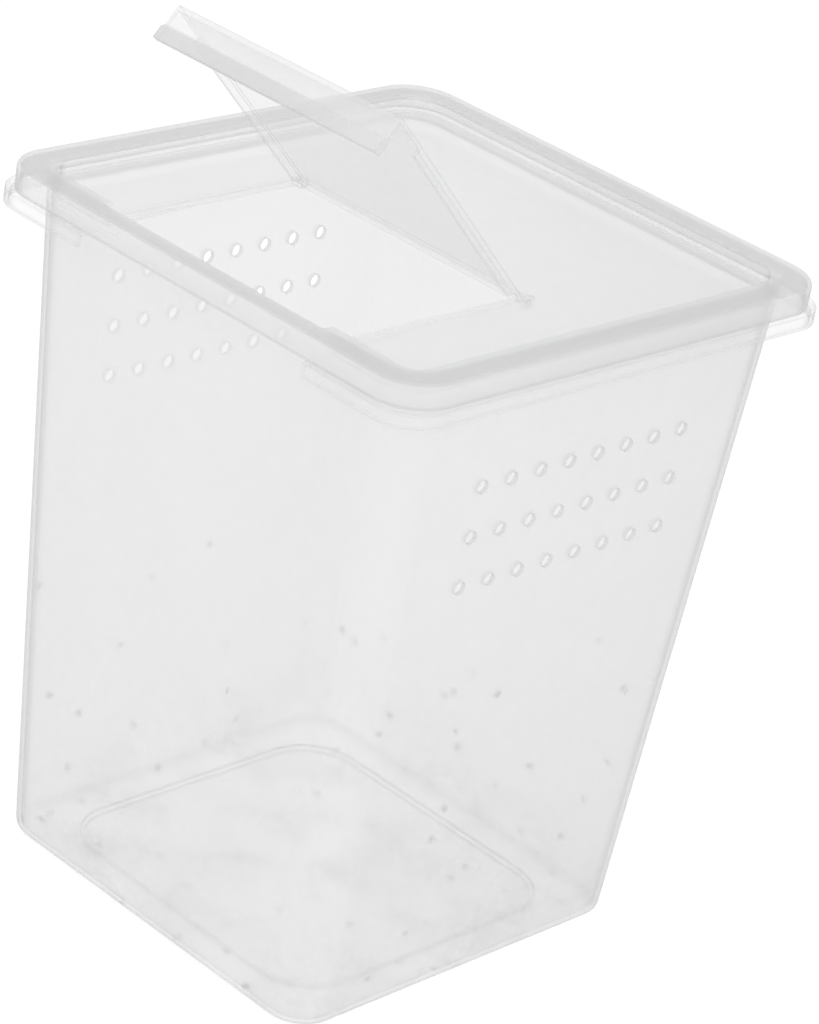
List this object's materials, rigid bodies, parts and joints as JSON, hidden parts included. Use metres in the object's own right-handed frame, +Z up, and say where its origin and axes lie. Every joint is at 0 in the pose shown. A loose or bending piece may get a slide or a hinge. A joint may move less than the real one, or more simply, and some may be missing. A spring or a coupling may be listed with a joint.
{
  "type": "insect box",
  "caption": "Tapered square insect box of translucent moulded plastic: vented tub, lift-off lid with a recessed top, and a hinged flap over an opening in the lid",
  "frame": {"origin": "centre of the base, on the surface that the box stands on", "axes": "+Z is up. The lip of the flap and its opening are on the -X side of the lid, the hinge runs along Y behind them, and the vented walls face +Y and -Y."},
  "size_m": [0.1924, 0.1924, 0.3034],
  "materials": {
    "tub_plastic": "translucent natural polypropylene, satin",
    "lid_plastic": "translucent natural polypropylene, satin",
    "flap_plastic": "translucent natural polypropylene, satin"
  },
  "bodies": {
    "tub": {"tub": "tub_plastic"},
    "lid": {"lid": "lid_plastic"},
    "flap": {"flap": "flap_plastic"}
  },
  "joints": [
    {"name": "lid_lift", "type": "slide", "parent": "tub", "child": "lid", "axis": [0, 0, 1], "range_m": [0, 0.06]},
    {"name": "flap_hinge", "type": "hinge", "parent": "lid", "child": "flap", "pos_m": [-0.002, 0, 0.2343], "axis": [0, 1, 0], "range_deg": [-41, 99]}
  ]
}
